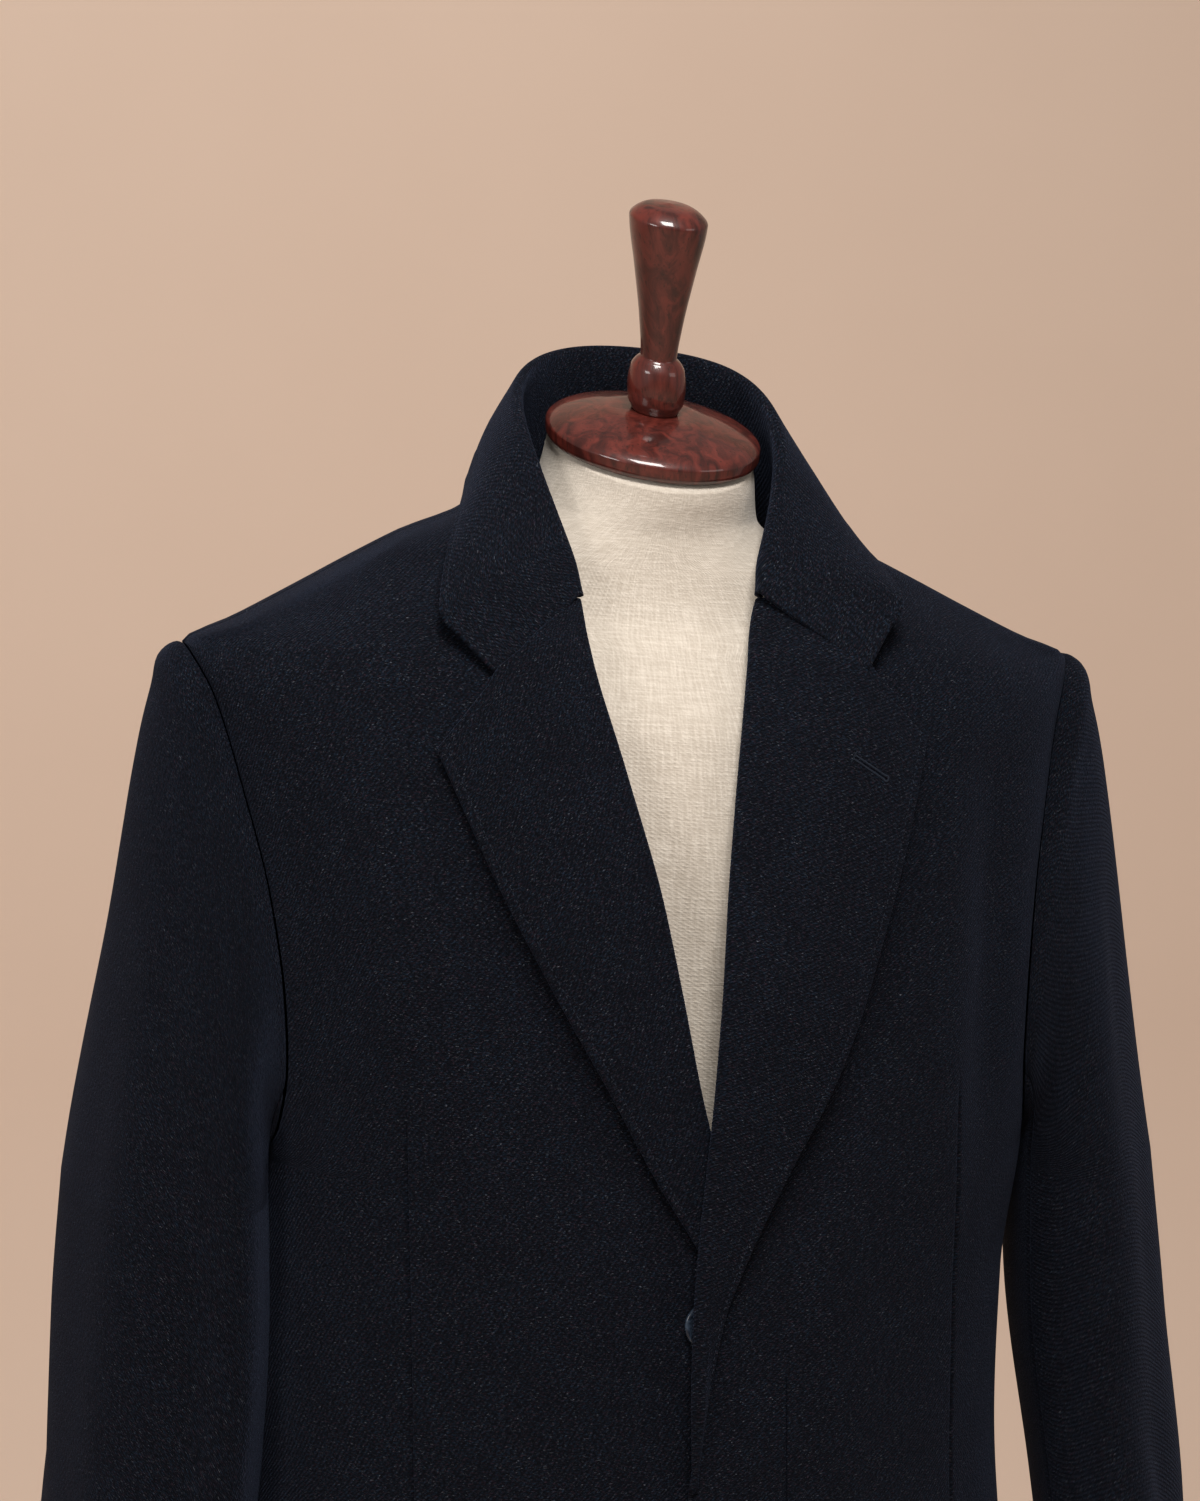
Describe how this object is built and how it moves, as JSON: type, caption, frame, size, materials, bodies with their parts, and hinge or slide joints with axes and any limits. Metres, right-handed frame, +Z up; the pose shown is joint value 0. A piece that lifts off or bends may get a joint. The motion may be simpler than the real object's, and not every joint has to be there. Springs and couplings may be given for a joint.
{
  "type": "wool overcoat on a dress form",
  "caption": "Fly-fronted wool overcoat with notched lapels and set-in sleeves, hanging open-hemmed on a limbless linen dress form with a turned finial and a round stand.",
  "frame": {"origin": "middle of the round base's underside, on the floor", "axes": "+Z up; the coat faces -Y; +X is the wearer's left"},
  "size_m": [0.6218, 0.38, 1.6457],
  "materials": {
    "navy_wool": "matt twill with a soft nap",
    "dark_horn": "polished horn-like button",
    "linen": "matt linen cover",
    "mahogany": "gloss lacquer"
  },
  "bodies": {
    "root": {"back_left": "navy_wool", "back_right": "navy_wool", "base": "mahogany", "button": "dark_horn", "collar": "navy_wool", "finial": "mahogany", "form_torso": "linen", "front_left": "navy_wool", "front_right": "navy_wool", "lapel_left": "navy_wool", "lapel_right": "navy_wool", "neck_cap": "mahogany", "pole": "mahogany", "sleeve_top_left": "navy_wool", "sleeve_top_right": "navy_wool", "sleeve_under_left": "navy_wool", "sleeve_under_right": "navy_wool"}
  },
  "joints": []
}
